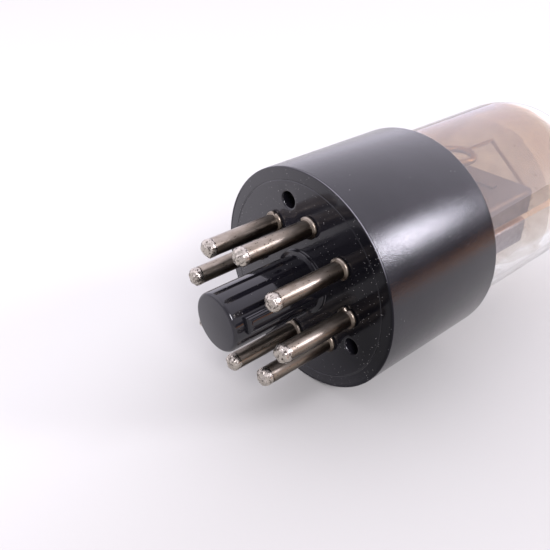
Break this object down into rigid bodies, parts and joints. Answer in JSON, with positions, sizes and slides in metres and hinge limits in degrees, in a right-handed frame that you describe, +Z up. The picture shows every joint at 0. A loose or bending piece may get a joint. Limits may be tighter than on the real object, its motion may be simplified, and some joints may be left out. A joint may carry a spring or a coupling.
{
  "type": "vacuum tube",
  "caption": "Glass vacuum tube on a black moulded octal base, with hollow plated contact pins round a keyed centre post and a twin electrode cage inside the bulb.",
  "frame": {"origin": "centre of the base's flat seating face, on the tube's axis", "axes": "+X along the tube's axis from the pins towards the dome of the glass, +Z up as the tube lies on its side, +Y by the right-hand rule"},
  "size_m": [0.0724, 0.0314, 0.0314],
  "materials": {
    "phenolic": "semi-gloss moulded phenolic, finely dusted",
    "pin_metal": "worn nickel plate, scratched along its length",
    "solder": "dull bright solder",
    "cement": "matt brown cement",
    "glass": "clear blown glass",
    "mica": "translucent mica sheet",
    "anode_metal": "dark carbonised nickel",
    "nickel": "satin nickel",
    "cathode_metal": "white oxide coating on nickel",
    "heater_coat": "white alumina coating",
    "lead_copper": "copper-sheathed wire",
    "getter_mirror": "brown-silver getter mirror"
  },
  "bodies": {
    "root": {"anode_1": "anode_metal", "anode_1_rods": "nickel", "anode_2": "anode_metal", "anode_2_rods": "nickel", "base_cement": "cement", "base_shell": "phenolic", "bulb": "glass", "cathode_1": "cathode_metal", "cathode_2": "cathode_metal", "cathode_tabs": "nickel", "exhaust_tube": "glass", "getter_film": "getter_mirror", "getter_ring": "nickel", "getter_support": "nickel", "glass_stem": "glass", "grid_1_rods": "lead_copper", "grid_1_winding": "nickel", "grid_2_rods": "lead_copper", "grid_2_winding": "nickel", "heater_1": "heater_coat", "heater_2": "heater_coat", "heater_links": "nickel", "lead_1": "lead_copper", "lead_2": "lead_copper", "lead_3": "lead_copper", "lead_4": "lead_copper", "lead_5": "lead_copper", "lead_6": "lead_copper", "lead_7": "lead_copper", "lead_8": "lead_copper", "lower_mica": "mica", "pin_1": "pin_metal", "pin_2": "pin_metal", "pin_3": "pin_metal", "pin_4": "pin_metal", "pin_5": "pin_metal", "pin_6": "pin_metal", "pin_7": "pin_metal", "pin_8": "pin_metal", "solder_tips": "solder", "upper_mica": "mica"}
  },
  "joints": []
}
